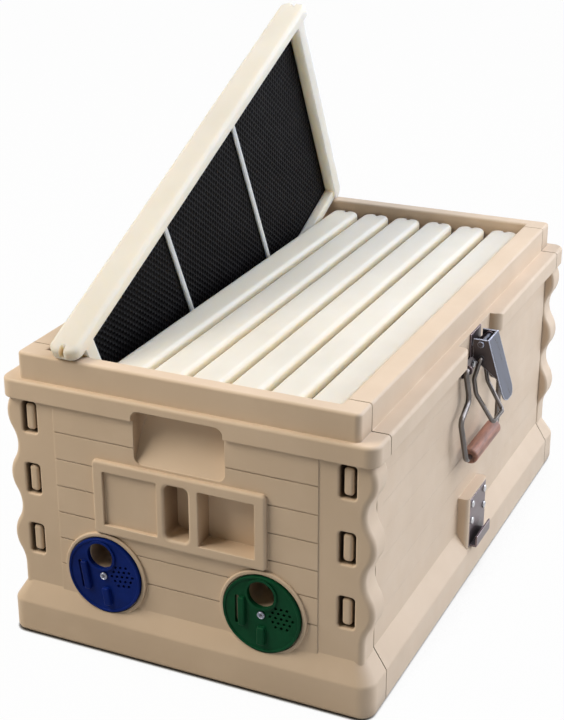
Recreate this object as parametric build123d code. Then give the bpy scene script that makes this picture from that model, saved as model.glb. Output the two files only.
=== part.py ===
from build123d import *
import os
from math import asin, atan2, cos, degrees, radians, sin, sqrt, tan

# Insulated, stackable hive body for seven deep frames, with one frame drawn and propped on the rim.
# Millimetres, +Z up, origin at the centre of the bottom rim; the front with the entrances faces -Y.

# Frames, to the common deep pattern
frame_count = 7
frame_pitch = 34.9
top_bar_length = 482.6
top_bar_width = 28.0
top_bar_depth = 13.0
top_bar_round = 4.0
top_bar_bevel = 3.0
lug_length = 15.0
lug_corner_radius = 9.0
lug_notch_width = 5.0
lug_notch_length = 7.5
lug_notch_sink = 8.5
frame_depth = 230.0
end_bar_width = 27.0
end_bar_thickness = 12.0
end_bar_foot_radius = 9.0
bottom_bar_width = 22.0
bottom_bar_depth = 9.5
rib_count = 2
rib_width = 4.5
rib_depth = 8.0
rib_shift = 3.5
foundation_thickness = 3.0
foundation_seat = 2.0
seat_clearance = 0.2
frame_set_shift = 6.5
rest_gap = 0.2

# The drawn frame, propped on the front and back rims
prop_offset = -104.7
prop_overhang = 6.7
prop_yaw = -1.5
prop_gap = 0.5

# Body: wall thicknesses, spaces round the frames and the stepped outline
frame_bottom_rise = 23.0
rim_over_bars = 9.0
lug_end_clearance = 1.2
side_space = 11.8
end_space = 7.7
side_wall = 26.5
end_wall = 24.5
collar_height = 23.3
collar_side_setback = 5.5
collar_end_setback = 1.0
collar_corner_radius = 5.0
collar_round = 2.5
ledge_height = 17.5
ledge_side_overhang = 10.5
ledge_end_overhang = 4.0
ledge_corner_radius = 11.0
ledge_round = 3.0
ledge_foot_round = 1.0
base_height = 30.0
base_slope_height = 18.5
base_side_overhang = 11.5
base_end_overhang = 8.5
base_corner_radius = 13.0
base_round = 5.0
foot_round = 4.0
socket_clearance = 1.2
seam_gap = 0.5
seam_groove_width = 0.7
seam_groove_depth = 1.2

# Panel shells, liners and foam cores
skin = 3.0
liner_thickness = 3.0
liner_border = 5.0
cavity_margin = 8.0
core_clearance = 0.25
liner_clearance = 0.15

# Interlocking corners: scalloped ears on the end panels, tabs on the side panels
ear_slot_count = 3
ear_slot_pitch = 57.0
ear_slot_drop = 15.4
ear_slot_width = 14.3
ear_slot_height = 28.5
ear_slot_lower = 1.2
ear_slot_setback = 7.2
ear_slot_radius = 3.0
ear_slot_round = 1.8
ear_bump = 9.0
ear_dip = 0.8
ear_round = 5.0
ear_back_round = 3.0
tab_side_gap = 3.1
tab_end_gap = 2.3
tab_recess = 1.5
tab_radius = 3.0
tab_round = 2.6

# Moulded boards on the faces
board_count = 7
field_proud = 0.7
field_round = 0.5
groove_width = 1.0
groove_depth = 0.7
side_groove_width = 0.8
side_groove_depth = 0.15
front_field_half_width = 119.0
side_field_margin = 12.0

# Handhold
scoop_offset = -2.0
scoop_width = 82.0
scoop_height = 48.5
scoop_rise = 10.0
scoop_depth_top = 19.0
scoop_depth_middle = 13.0
scoop_depth_bottom = 0.2
scoop_radius = 7.0
scoop_inner_radius = 10.0

# Raised plate with two windows and a slot
plate_offset = -2.9
plate_width = 157.5
plate_drop = 40.7
plate_height = 67.5
plate_proud = 5.0
plate_radius = 4.0
plate_round = 2.5
window_width = 50.0
window_height = 49.0
window_spacing = 87.7
left_window_depth = 3.5
right_window_depth = 20.0
window_radius = 1.0
window_round = 0.8
slot_offset = -1.1
slot_width = 22.0
slot_depth = 24.0
slot_radius = 5.0
slot_round = 2.5

# Entrances and their turning discs
entrance_spacing = 146.0
entrance_offset = -1.2
entrance_rise = 25.1
ring_diameter = 77.3
ring_proud = 3.3
ring_round = 1.0
seat_depth = 6.0
disc_diameter = 68.5
disc_thickness = 3.0
disc_rim_width = 2.2
disc_rim_proud = 0.8
disc_side_clearance = 1.2
disc_back_clearance = 0.3
disc_recess_depth = 1.6
left_disc_turn = -8.0
right_disc_turn = 0.0
tunnel_diameter = 28.0
hole_diameter = 24.0
hole_radius_on_disc = 18.5
hole_lip = 2.0
hole_lip_proud = 1.5
vent_rings = 2
vent_spacing = 5.0
vent_diameter = 2.6
vent_radius_on_disc = 17.5
louvre_radius_on_disc = 17.0
louvre_length = 26.0
louvre_width = 6.0
louvre_slot_width = 3.6
grip_rib_radius_on_disc = 19.0
grip_rib_length = 16.5
grip_rib_width = 7.0
rib_proud = 3.5
rib_round = 1.5
pivot_diameter = 4.0
pivot_clearance = 0.05
pivot_grip = 4.0
pivot_head_diameter = 6.6
pivot_head_height = 1.6
pivot_eye_diameter = 4.0
pivot_eye_floor = 0.5

# Toggle latch on each side
notch_width = 88.0
notch_round = 8.0
sheet = 1.5
lever_width = 28.0
lever_pin_drop = 7.7
lever_pin_out = 10.5
lever_pin_diameter = 4.5
lever_top_above_pin = 4.5
lever_back_from_pin = 7.0
lever_front_from_pin = 5.5
lever_flange_length = 36.0
lever_back_length = 18.0
lever_tilt = 17.0
lever_length = 57.0
lever_tip_radius = 10.0
running_clearance = 0.05
side_play = 0.5
pin_head_diameter = 6.0
pin_head_height = 0.9
loop_wire = 4.0
loop_drop = 13.0
loop_out = 1.0
loop_leg_play = 0.6
loop_bow = 5.0
loop_upper_bend = 0.32
loop_lower_bend = 0.55
loop_reach = 60.5
loop_lean = 13.0
loop_bar_half_width = 14.5
loop_eye_radius = 2.4
loop_bow_radius = 8.0
loop_leg_radius = 12.0
bracket_ear_radius = 3.8
bracket_ear_foot = 11.0
bracket_ear_slant = 60.0
bracket_foot_drop = 28.0

# Carry handle on each side
bail_wire = 5.0
bail_pivot_drop = 8.2
bail_pivot_out = 5.5
bail_spread = 76.0
bail_ear_radius = 4.4
bail_leg_play = 0.5
bail_hook_radius = 3.5
bail_neck_half = 31.0
bail_neck_drop = 28.5
bail_shoulder_half = 56.0
bail_shoulder_drop = 40.0
bail_foot_half = 45.0
bail_length = 81.5
bail_lean = 4.2
bail_bend_radius = 7.0
grip_diameter = 14.5
grip_length = 70.0
grip_bore_clearance = 0.1
grip_end_radius = 2.0

# Keeper on each side, for the latch of the body below
keeper_boss_width = 55.0
keeper_boss_height = 54.0
keeper_boss_proud = 10.5
keeper_boss_radius = 4.0
keeper_seat_depth = 1.2
keeper_seat_gap = 0.4
keeper_plate_width = 44.0
keeper_plate_height = 49.0
keeper_rise = 33.0
hook_width = 38.0
hook_gap = 5.2
hook_lip_height = 11.0
rivet_diameter = 4.0
rivet_head_diameter = 7.0
rivet_head_height = 1.6
rivet_dome_radius = 1.1
rivet_grip = 6.0
rivet_clearance = 0.05
keeper_rivet_inset = 4.8
keeper_rivet_rows = (6.0, 23.0)
bracket_rivet_spacing = 11.0
bracket_rivet_rows = (5.0, 21.0)
backing_margin = 3.0

# Planes and outlines that follow from the values above
bar_top = frame_bottom_rise + frame_depth
body_height = bar_top + rim_over_bars
rest_floor = bar_top - top_bar_depth - rest_gap
opening_half_w = ((frame_count - 1) * frame_pitch + top_bar_width) / 2 + side_space
rabbet_half_l = top_bar_length / 2 + lug_end_clearance
inner_half_l = top_bar_length / 2 - lug_length + end_space
side_face = opening_half_w + side_wall
end_face = inner_half_l + end_wall
collar_half_w = side_face - collar_side_setback
collar_half_l = end_face - collar_end_setback
ledge_half_w = side_face + ledge_side_overhang
ledge_half_l = end_face + ledge_end_overhang
base_half_w = side_face + base_side_overhang
base_half_l = end_face + base_end_overhang
ledge_top = body_height - collar_height
ledge_bottom = ledge_top - ledge_height
slope_top = base_height + base_slope_height
socket_depth = collar_height + socket_clearance
cavity_bottom = socket_depth + skin
ear_slot_top = ledge_bottom - ear_slot_drop
scoop_top = ledge_bottom + scoop_rise
scoop_bottom = scoop_top - scoop_height
ear_slot_x = side_face - ear_slot_setback - ear_slot_width / 2
plate_bottom = ledge_bottom - plate_drop - plate_height
entrance_height = slope_top + entrance_rise
keeper_seat = side_face + keeper_boss_proud - keeper_seat_depth
pin_x = side_face + lever_pin_out
pin_z = ledge_top - lever_pin_drop
loop_pivot_x = pin_x + loop_out
loop_pivot_z = pin_z - loop_drop
bail_x = side_face + bail_pivot_out
bail_z = ledge_bottom - bail_pivot_drop
bracket_low = pin_z - bracket_foot_drop
lever_half = lever_width / 2
ear_outer = lever_half - sheet - side_play
loop_y = lever_half + loop_wire / 2 + loop_leg_play
bail_y = bail_spread / 2
bail_hook_turn = radians(90) + atan2(bail_y - bail_neck_half, bail_neck_drop)
bail_ear_y = bail_y - bail_hook_radius * tan(bail_hook_turn / 2) - bail_leg_play - sheet
reach = 2 * (base_half_w + base_half_l)


def block(x0, x1, y0, y1, z0, z1):
    """Box between two corners."""
    return Pos((x0 + x1) / 2, (y0 + y1) / 2, (z0 + z1) / 2) * Box(x1 - x0, y1 - y0, z1 - z0)


def rounded_slab(half_w, half_l, radius, z0, z1):
    """Rounded rectangle in plan, from z0 up to z1."""
    return Pos(0, 0, z0) * extrude(RectangleRounded(2 * half_w, 2 * half_l, radius), z1 - z0)


def rod(diameter, axis_start, axis_end):
    """Round bar between two points."""
    start = Vector(*axis_start)
    run = Vector(*axis_end) - start
    return extrude(Plane(start, z_dir=run) * Circle(diameter / 2), run.length)


def wire_form(points, radii, diameter):
    """Round wire bent along straight runs joined by tangent arcs."""
    path = FilletPolyline(*points, radius=radii)
    section = Plane(path @ 0, z_dir=path % 0) * Circle(diameter / 2)
    return sweep(section, path=path)


# Frames

def frame_bar():
    """Top bar with rounded upper edges, bevelled lower ones and a notched, round-nosed lug at each end."""
    solid = extrude(RectangleRounded(top_bar_width, top_bar_length, lug_corner_radius), -top_bar_depth)
    solid = fillet(solid.edges().group_by(Axis.Z)[-1], top_bar_round)
    solid = chamfer(solid.edges().group_by(Axis.Z)[0], top_bar_bevel)
    for side in (-1, 1):
        notch = Rot(0, 0, 90) * SlotOverall(2 * lug_notch_length, lug_notch_width)
        solid -= Pos(0, side * top_bar_length / 2, 0) * extrude(notch, -lug_notch_sink)
    return solid


def frame_inner_half_length():
    return top_bar_length / 2 - lug_length - end_bar_thickness


def frame_moulding():
    """One-piece frame: top bar, end bars, bottom bar and two ribs, grooved for the foundation."""
    inner = frame_inner_half_length()
    outer = inner + end_bar_thickness
    shoulder = top_bar_bevel - top_bar_depth
    end_bar = block(-end_bar_width / 2, end_bar_width / 2, inner, outer, -frame_depth, shoulder)
    foot = end_bar.edges().filter_by(Axis.X).sort_by(lambda e: e.center().Z + e.center().Y / reach)
    end_bar = fillet(foot[1], end_bar_foot_radius)
    half_b = bottom_bar_width / 2
    bottom = block(-half_b, half_b, -inner, inner, -frame_depth, bottom_bar_depth - frame_depth)
    solid = frame_bar() + end_bar + mirror(end_bar, Plane.XZ) + bottom
    for index in range(rib_count):
        y = inner * (2 * (index + 1) / (rib_count + 1) - 1) + rib_shift
        solid += block(-rib_depth / 2, rib_depth / 2, y - rib_width / 2, y + rib_width / 2,
                       -frame_depth, shoulder)
    return solid - foundation_sheet(seat_clearance)


def foundation_sheet(grow=0.0):
    """Sheet that sits in the grooves of the frame, grown by the given clearance."""
    half_t = foundation_thickness / 2 + grow
    half_l = frame_inner_half_length() + foundation_seat + grow
    return block(-half_t, half_t, -half_l, half_l,
                 bottom_bar_depth - frame_depth - foundation_seat - grow,
                 -top_bar_depth + foundation_seat + grow)


def hung(index):
    """Place of a frame that hangs by its lugs on the rests."""
    x = (index - (frame_count - 1) / 2) * frame_pitch + frame_set_shift
    return Pos(x, 0, bar_top)


def propped():
    """Place of the drawn frame: near lug on the front rim, bottom bar on the edge of the back rim."""
    tilt = asin((frame_depth - top_bar_depth) / (rabbet_half_l + collar_half_l))
    tip_y = -collar_half_l - prop_overhang
    rim_y = -collar_half_l + collar_round
    rim_z = body_height - collar_round
    drop = top_bar_depth + collar_round + prop_gap - (rim_y - tip_y) * sin(tilt)
    tip_z = rim_z + drop / cos(tilt)
    turn = Rot(0, 0, prop_yaw) * Rot(degrees(tilt), 0, 0)
    return Pos(prop_offset, tip_y, tip_z) * turn * Pos(0, top_bar_length / 2, 0)


# End panels

def ear_outline():
    """Front view of an end panel's wall, with scalloped edges beside the slots."""
    bump = side_face + ear_bump
    dip = side_face + ear_dip
    half = ear_slot_pitch / 2
    depth = bump - dip
    radius = (half ** 2 + depth ** 2) / (4 * depth)
    swing = asin(half / 2 / radius) / 2
    sag = radius * (1 - cos(swing))
    rise = radius * sin(swing)
    middle = (bump + dip) / 2
    edges = []
    for index in range(ear_slot_count):
        z = ear_slot_top - index * ear_slot_pitch
        top = (dip, z + half)
        edges.append(ThreePointArc(top, (dip + sag, z + half - rise), (middle, z + half / 2)))
        edges.append(ThreePointArc((middle, z + half / 2), (bump - sag, z + rise), (bump, z)))
        edges.append(ThreePointArc((bump, z), (bump - sag, z - rise), (middle, z - half / 2)))
        edges.append(ThreePointArc((middle, z - half / 2), (dip + sag, z - half + rise), (dip, z - half)))
    high = ear_slot_top + half
    low = ear_slot_top - (ear_slot_count - 1) * ear_slot_pitch - half
    foot = base_height / 2
    edges.append(Polyline((dip, low), (dip, foot), (0, foot), (0, high), (dip, high)))
    half_face = make_face(Curve() + edges)
    return half_face + mirror(half_face, Plane.YZ)


def envelope_rings():
    """Ledge, collar and sloped base of the whole body, before it is divided into panels."""
    ledge = rounded_slab(ledge_half_w, ledge_half_l, ledge_corner_radius, ledge_bottom, ledge_top)
    ledge = fillet(ledge.edges().group_by(Axis.Z)[-1], ledge_round)
    ledge = fillet(ledge.edges().group_by(Axis.Z)[0], ledge_foot_round)
    collar = rounded_slab(collar_half_w, collar_half_l, collar_corner_radius, ledge_bottom, body_height)
    collar -= block(-opening_half_w, opening_half_w, -rabbet_half_l, rabbet_half_l, 0, reach)
    collar = fillet(collar.edges().group_by(Axis.Z)[-1], collar_round)
    foot = rounded_slab(base_half_w, base_half_l, base_corner_radius, 0, base_height)
    narrow_radius = base_corner_radius - min(base_side_overhang, base_end_overhang) / 2
    wide = Pos(0, 0, base_height) * RectangleRounded(2 * base_half_w, 2 * base_half_l, base_corner_radius)
    narrow = Pos(0, 0, slope_top) * RectangleRounded(2 * side_face, 2 * end_face, narrow_radius)
    base = foot + loft([wide, narrow])
    shoulder = base.edges().filter_by_position(Axis.Z, base_height, base_height)
    base = fillet(shoulder, base_round)
    base = fillet(base.edges().group_by(Axis.Z)[0], foot_round)
    return ledge + collar + base


def inner_space():
    """Frame space, frame rests and the socket that takes the collar of the body below."""
    shaft = block(-opening_half_w, opening_half_w, -inner_half_l, inner_half_l, -reach, reach)
    rests = block(-opening_half_w, opening_half_w, -rabbet_half_l, rabbet_half_l, rest_floor, reach)
    socket = rounded_slab(collar_half_w + socket_clearance, collar_half_l + socket_clearance,
                          collar_corner_radius + socket_clearance, -reach, socket_depth)
    return shaft + rests + socket


def scoop_cutter():
    """Handhold: rounded outline, deep under the ledge, sweeping out to a shallow lower edge."""
    low = scoop_bottom
    high = scoop_top
    outline = RectangleRounded(scoop_width, scoop_height, scoop_radius)
    prism = extrude(Plane.XZ * Pos(scoop_offset, (low + high) / 2) * outline, reach)
    trough = extrude(RectangleRounded(scoop_width, 2 * scoop_depth_top, scoop_inner_radius), scoop_height)
    bottom = (scoop_depth_bottom - end_face, low)
    middle = (scoop_depth_middle - end_face, (low + high) / 2)
    top = (scoop_depth_top - end_face, high)
    back = [ThreePointArc(bottom, middle, top), Polyline(top, (-reach, high), (-reach, low), bottom)]
    wedge = extrude(Plane.YZ * make_face(Curve() + back), scoop_width, both=True)
    return prism & (Pos(scoop_offset, -end_face, low) * trough) & wedge


def scoop_room(wall):
    """Plain wedge round the handhold, with at least the given wall between them."""
    low = scoop_bottom - wall
    high = scoop_top + wall
    deep = scoop_depth_top + wall - end_face
    corners = [(scoop_depth_bottom + wall - end_face, low), (deep, (low + high) / 2), (deep, high),
               (-reach, high), (-reach, low)]
    wedge = Plane.YZ * make_face(Polyline(*corners, close=True))
    return Pos(scoop_offset, 0, 0) * extrude(wedge, scoop_width / 2 + wall, both=True)


def frontal_pocket(x, z, width, height, radius, depth_plane):
    """Rounded pocket from the front, down to the plane y = -depth_plane."""
    outline = Plane.XZ * Pos(x, z) * RectangleRounded(width, height, radius)
    return extrude(outline, reach) & block(-reach, reach, -reach, -depth_plane, -reach, reach)


def plate_pockets(grow=0.0):
    """The two windows and the slot of the raised plate."""
    face = end_face + plate_proud
    z = plate_bottom + plate_height / 2
    sizes = [(-window_spacing / 2, window_width, window_radius, left_window_depth),
             (window_spacing / 2, window_width, window_radius, right_window_depth),
             (slot_offset, slot_width, slot_radius, slot_depth)]
    pockets = [frontal_pocket(plate_offset + x, z, width + 2 * grow, window_height + 2 * grow,
                              radius + grow, face - depth - grow)
               for x, width, radius, depth in sizes]
    return pockets[0] + pockets[1] + pockets[2]


def raised_plate():
    """Plate on the front, with rounded edges that also run round its windows and its slot."""
    z = plate_bottom + plate_height / 2
    outline = RectangleRounded(plate_width, plate_height, plate_radius)
    solid = extrude(Plane.XZ.offset(end_face - skin) * Pos(plate_offset, z) * outline, skin + plate_proud)
    solid = fillet(solid.edges().group_by(Axis.Y)[0], plate_round)
    solid -= plate_pockets()
    reach_z = window_height / 2 + window_round
    slot_x = plate_offset + slot_offset
    inner = [e for e in solid.edges().group_by(Axis.Y)[0] if abs(e.center().Z - z) < reach_z]
    inner = [e for e in inner if abs(e.center().X - plate_offset) < plate_width / 2 - 2 * plate_round]
    slot = [e for e in inner if abs(e.center().X - slot_x) < slot_width / 2 + slot_round]
    solid = fillet(slot, slot_round)
    inner = [e for e in solid.edges().group_by(Axis.Y)[0] if abs(e.center().Z - z) < reach_z]
    inner = [e for e in inner if abs(e.center().X - plate_offset) < plate_width / 2 - 2 * plate_round]
    windows = [e for e in inner if abs(e.center().X - slot_x) > slot_width / 2 + 2 * slot_round]
    return fillet(windows, window_round)


def entrance_sides():
    return [entrance_offset - entrance_spacing / 2, entrance_offset + entrance_spacing / 2]


def tunnel(x, diameter):
    """Bore through the front panel, behind the hole of a disc."""
    z = entrance_height + hole_radius_on_disc
    return rod(diameter, (x, -reach / 2, z), (x, -inner_half_l, z))


def disc_seat(x, grow=0.0):
    """Solid pad behind a disc, from the panel's face inward."""
    return rod(ring_diameter + 2 * grow, (x, -end_face, entrance_height),
               (x, -end_face + seat_depth + grow, entrance_height))


def board_lines():
    """Heights of the lines between the moulded boards."""
    pitch = (ledge_bottom - slope_top) / board_count
    return [slope_top + index * pitch for index in range(1, board_count)]


def board_field():
    """Raised field of boards on an end panel, with the lines between the boards."""
    edge = front_field_half_width
    face = -end_face - field_proud
    solid = block(-edge, edge, face, face + skin, slope_top - skin, ledge_bottom + skin)
    solid = fillet(solid.edges().filter_by(Axis.Z).group_by(Axis.Y)[0], field_round)
    half = groove_width / 2
    return solid - [block(-edge, edge, face, face + groove_depth, z - half, z + half) for z in board_lines()]


def side_grooves():
    """Fainter lines between the boards of a side panel."""
    half = side_groove_width / 2
    edge = inner_half_l - side_field_margin
    floor = side_face - side_groove_depth
    return Part() + [block(floor, ledge_half_w, -edge, edge, z - half, z + half) for z in board_lines()]


def end_cavity(gap, front):
    """Space for the foam in an end panel, clear of the handhold, pockets and tunnels."""
    half_w = opening_half_w - cavity_margin - gap
    solid = block(-half_w, half_w, -end_face + skin + gap, -inner_half_l - liner_thickness - gap,
                  cavity_bottom + gap, rest_floor - skin - gap)
    solid -= scoop_room(skin + gap)
    if front:
        solid -= plate_pockets(skin + gap)
        for x in entrance_sides():
            solid -= tunnel(x, tunnel_diameter + 2 * skin + 2 * gap)
            solid -= disc_seat(x, gap)
    return solid


def end_liner(gap, front):
    """Inner face of an end panel; its top edge is part of the frame rest."""
    half_w = opening_half_w - cavity_margin + liner_border - gap
    solid = block(-half_w, half_w, -inner_half_l - liner_thickness, -inner_half_l,
                  socket_depth, rest_floor)
    if front:
        for x in entrance_sides():
            solid -= tunnel(x, tunnel_diameter + 2 * skin + 2 * gap)
    return solid


def ear_slot_heights():
    top = ear_slot_top - ear_slot_lower
    return [top - index * ear_slot_pitch for index in range(ear_slot_count)]


def ear_slots():
    """Slots through both ears of an end panel."""
    outline = RectangleRounded(ear_slot_width, ear_slot_height, ear_slot_radius)
    base = Plane.XZ.offset(inner_half_l)
    return Part() + [extrude(base * Pos(side * ear_slot_x, z) * outline, end_wall)
                     for side in (-1, 1) for z in ear_slot_heights()]


def corner_tabs():
    """Tabs of the right side panel, standing in the slots of the front panel's ear."""
    width = ear_slot_width - 2 * tab_side_gap
    height = ear_slot_height - 2 * tab_end_gap
    outline = RectangleRounded(width, height, tab_radius)
    start = inner_half_l - seam_gap
    length = end_face - tab_recess - start
    tabs = []
    for z in ear_slot_heights():
        tab = extrude(Plane.XZ.offset(start) * Pos(ear_slot_x, z) * outline, length)
        tabs.append(fillet(tab.edges().group_by(Axis.Y)[0], tab_round))
    return Part() + tabs


def end_wall_with_ears():
    """Upright wall of an end panel: scalloped, slotted ears with rounded edges."""
    wall = extrude(Plane.XZ.offset(inner_half_l) * ear_outline(), end_wall)
    wall = fillet(wall.edges().group_by(Axis.Y)[0].filter_by(Axis.X, reverse=True), ear_round)
    wall = fillet(wall.edges().group_by(Axis.Y)[-1].filter_by(Axis.X, reverse=True), ear_back_round)
    wall -= ear_slots()
    rims = [e for e in wall.edges().group_by(Axis.Y)[0]
            if abs(abs(e.center().X) - ear_slot_x) < ear_slot_width / 2 + ear_slot_round]
    wall = fillet(rims, ear_slot_round)
    return wall & block(-reach, reach, -reach, reach, base_height / 2, ledge_bottom + ledge_height / 2)


def end_panel_shell(front):
    """Outer shell of the front panel, or of the plainer back panel, as seen from the front."""
    rings = envelope_rings() & block(-reach, reach, -reach, -inner_half_l, 0, body_height)
    solid = end_wall_with_ears() + rings + board_field()
    recess = end_face + ring_proud - disc_recess_depth
    if front:
        solid += raised_plate()
        for x in entrance_sides():
            ring = rod(ring_diameter, (x, -end_face + skin, entrance_height),
                       (x, -end_face - ring_proud, entrance_height))
            solid += fillet(ring.edges().group_by(Axis.Y)[0], ring_round)
        solid -= plate_pockets()
        for x in entrance_sides():
            solid -= rod(disc_diameter + 2 * disc_side_clearance, (x, -recess, entrance_height),
                         (x, -reach, entrance_height))
    solid -= scoop_cutter()
    solid -= inner_space()
    solid -= end_cavity(0.0, front)
    solid -= end_liner(-liner_clearance, False)
    if front:
        z = entrance_height + hole_radius_on_disc
        for x in entrance_sides():
            solid += rod(tunnel_diameter + 2 * skin, (x, -end_face + skin, z), (x, -inner_half_l, z))
            solid -= tunnel(x, tunnel_diameter)
            solid -= rod(pivot_diameter + 2 * pivot_clearance, (x, -recess, entrance_height),
                         (x, -recess + pivot_grip, entrance_height))
    return solid


# Side panels, made for the right side

def keeper_boss():
    """Pad that carries the keeper, with rounded upright edges."""
    half = keeper_boss_width / 2
    pad = block(side_face - skin, side_face + keeper_boss_proud, -half, half,
                base_height, base_height + keeper_boss_height)
    upright = pad.edges().filter_by(Axis.Z).group_by(Axis.X)[-1]
    return fillet(upright, keeper_boss_radius)


def keeper_pocket():
    """Seat of the keeper plate, open below the hook."""
    half = keeper_plate_width / 2 + keeper_seat_gap
    return block(keeper_seat, reach, -half, half, keeper_rise - keeper_seat_gap,
                 keeper_rise + keeper_plate_height + keeper_seat_gap)


def ledge_notch():
    """Gap in the side ledge for the latch and the raised handle, rounded towards the ledge's face."""
    half = notch_width / 2
    far = ledge_half_w + ledge_side_overhang
    bend = ledge_half_w - notch_round
    mid_x = bend + notch_round * sin(radians(45))
    mid_y = half + notch_round * (1 - cos(radians(45)))
    wide = half + notch_round
    edges = [Polyline((bend, -half), (side_face, -half), (side_face, half), (bend, half)),
             ThreePointArc((bend, half), (mid_x, mid_y), (ledge_half_w, wide)),
             Polyline((ledge_half_w, wide), (far, wide), (far, -wide), (ledge_half_w, -wide)),
             ThreePointArc((ledge_half_w, -wide), (mid_x, -mid_y), (bend, -half))]
    return Pos(0, 0, ledge_bottom) * extrude(make_face(Curve() + edges), ledge_height)


def side_cavity(gap):
    """Space for the foam in a side panel, with solid backing left behind the latch bracket."""
    half_l = inner_half_l - cavity_margin - gap
    solid = block(opening_half_w + liner_thickness + gap, side_face - skin - gap, -half_l, half_l,
                  cavity_bottom + gap, ledge_bottom - gap)
    half_b = bracket_rivet_spacing / 2 + rivet_diameter + backing_margin + gap
    backing = block(side_face - rivet_grip - skin - gap, side_face, -half_b, half_b,
                    bracket_low - backing_margin - gap, ledge_bottom)
    return solid - backing


def side_liner(gap):
    """Inner face of a side panel."""
    half_l = inner_half_l - cavity_margin + liner_border - gap
    return block(opening_half_w, opening_half_w + liner_thickness, -half_l, half_l,
                 socket_depth, ledge_bottom + liner_border - gap)


def latch_rivet_places():
    y = bracket_rivet_spacing / 2
    return [(side * y, bracket_low + row) for side in (-1, 1) for row in bracket_rivet_rows]


def keeper_rivet_places():
    y = keeper_plate_width / 2 - keeper_rivet_inset
    top = keeper_rise + keeper_plate_height
    return [(side * y, top - row) for side in (-1, 1) for row in keeper_rivet_rows]


def seam_groove(solid, end):
    """Outer layer of a side panel along its end, taken away so that the seam reads as a line."""
    strip = block(0, reach, end - seam_groove_width, end, 0, body_height)
    strip &= solid
    return strip - Pos(-seam_groove_depth, 0, -seam_groove_depth) * strip


def side_panel_shell():
    """Outer shell of the right side panel, with the tabs that pass through the ears."""
    end = inner_half_l - seam_gap
    wall = block(opening_half_w, side_face, -end, end, base_height / 2, ledge_top)
    rings = envelope_rings() & block(0, reach, -end, end, 0, body_height)
    solid = wall - side_grooves() + (rings - ledge_notch())
    solid += keeper_boss()
    solid -= keeper_pocket()
    solid -= inner_space()
    solid -= side_cavity(0.0)
    solid -= side_liner(-liner_clearance)
    groove = seam_groove(solid, end)
    solid -= groove
    solid -= mirror(groove, Plane.XZ)
    tabs = corner_tabs()
    solid += tabs
    solid += mirror(tabs, Plane.XZ)
    hole = rivet_diameter + 2 * rivet_clearance
    for y, z in latch_rivet_places():
        solid -= rod(hole, (side_face - rivet_grip, y, z), (side_face, y, z))
    for y, z in keeper_rivet_places():
        solid -= rod(hole, (keeper_seat - rivet_grip, y, z), (keeper_seat, y, z))
    return solid


# Entrance discs

def entrance_disc():
    """Turning disc at the origin, facing -Y: hole, vents, closed place and louvre a quarter turn apart."""
    front = disc_thickness
    face = Circle(disc_diameter / 2)
    face -= Pos(0, hole_radius_on_disc) * Circle(hole_diameter / 2)
    face -= Circle(pivot_diameter / 2 + pivot_clearance)
    for row in range(-vent_rings, vent_rings + 1):
        count = 2 * vent_rings + 1 - abs(row)
        for place in range(count):
            x = vent_radius_on_disc + (place - (count - 1) / 2) * vent_spacing
            face -= Pos(x, row * vent_spacing * sqrt(3) / 2) * Circle(vent_diameter / 2)
    louvre_x = -louvre_radius_on_disc
    slot_x = louvre_x - (louvre_width + louvre_slot_width) / 2
    face -= Pos(slot_x, 0) * RectangleRounded(louvre_slot_width, louvre_length, louvre_slot_width / 3)
    solid = extrude(Plane.XZ * face, front)
    lip = Pos(0, hole_radius_on_disc) * (Circle(hole_diameter / 2 + hole_lip) - Circle(hole_diameter / 2))
    lip -= Circle(pivot_head_diameter / 2 + hole_lip / 2)
    solid += extrude(Plane.XZ.offset(front) * lip, hole_lip_proud)
    rim = Circle(disc_diameter / 2) - Circle(disc_diameter / 2 - disc_rim_width)
    rim = extrude(Plane.XZ.offset(front) * rim, disc_rim_proud)
    solid += fillet(rim.edges().group_by(Axis.Y)[0], disc_rim_proud / 2)
    for x, z, width, length in ((louvre_x, 0.0, louvre_width, louvre_length),
                                (0.0, -grip_rib_radius_on_disc, grip_rib_width, grip_rib_length)):
        outline = RectangleRounded(width, length, rib_round)
        rib = extrude(Plane.XZ.offset(front) * Pos(x, z) * outline, rib_proud)
        solid += fillet(rib.edges().group_by(Axis.Y)[0], rib_round)
    return solid


def disc_place(x, turn):
    """Place of a disc in its seat, turned about its pivot."""
    back = end_face + ring_proud - disc_recess_depth + disc_back_clearance
    return Pos(x, -back, entrance_height) * Rot(0, turn, 0)


def pivot_screw(x):
    """Hollow-headed screw that holds a disc to the panel."""
    floor = end_face + ring_proud - disc_recess_depth
    head = floor + disc_back_clearance + disc_thickness + disc_back_clearance
    shank = rod(pivot_diameter, (x, -head, entrance_height), (x, -floor + pivot_grip, entrance_height))
    tip = head + pivot_head_height
    cap = rod(pivot_head_diameter, (x, -tip, entrance_height), (x, -head, entrance_height))
    cap = fillet(cap.edges().group_by(Axis.Y)[0], pivot_head_height / 2)
    eye = rod(pivot_eye_diameter, (x, -tip, entrance_height),
              (x, -head - pivot_eye_floor, entrance_height))
    return shank + cap - eye


# Latch and handle, made for the right side

def upright_plate(points, y0, y1):
    """Sheet-metal profile in the XZ plane, between two values of y."""
    outline = Plane.XZ.offset(-y1) * make_face(Polyline(*points, close=True))
    return extrude(outline, y1 - y0)


def pivot_ear(x, z, radius, foot_low, foot_high, y0, y1):
    """Ear folded out from the bracket plate, with a round nose at the pivot."""
    back = side_face + sheet
    lower = radians(-bracket_ear_slant)
    upper = radians(180 - bracket_ear_slant)
    profile = [(back, foot_low), (x + radius * cos(lower), z + radius * sin(lower)),
               (x + radius * cos(upper), z + radius * sin(upper)), (back, foot_high)]
    return upright_plate(profile, y0, y1) + rod(2 * radius, (x, y0, z), (x, y1, z))


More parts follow.
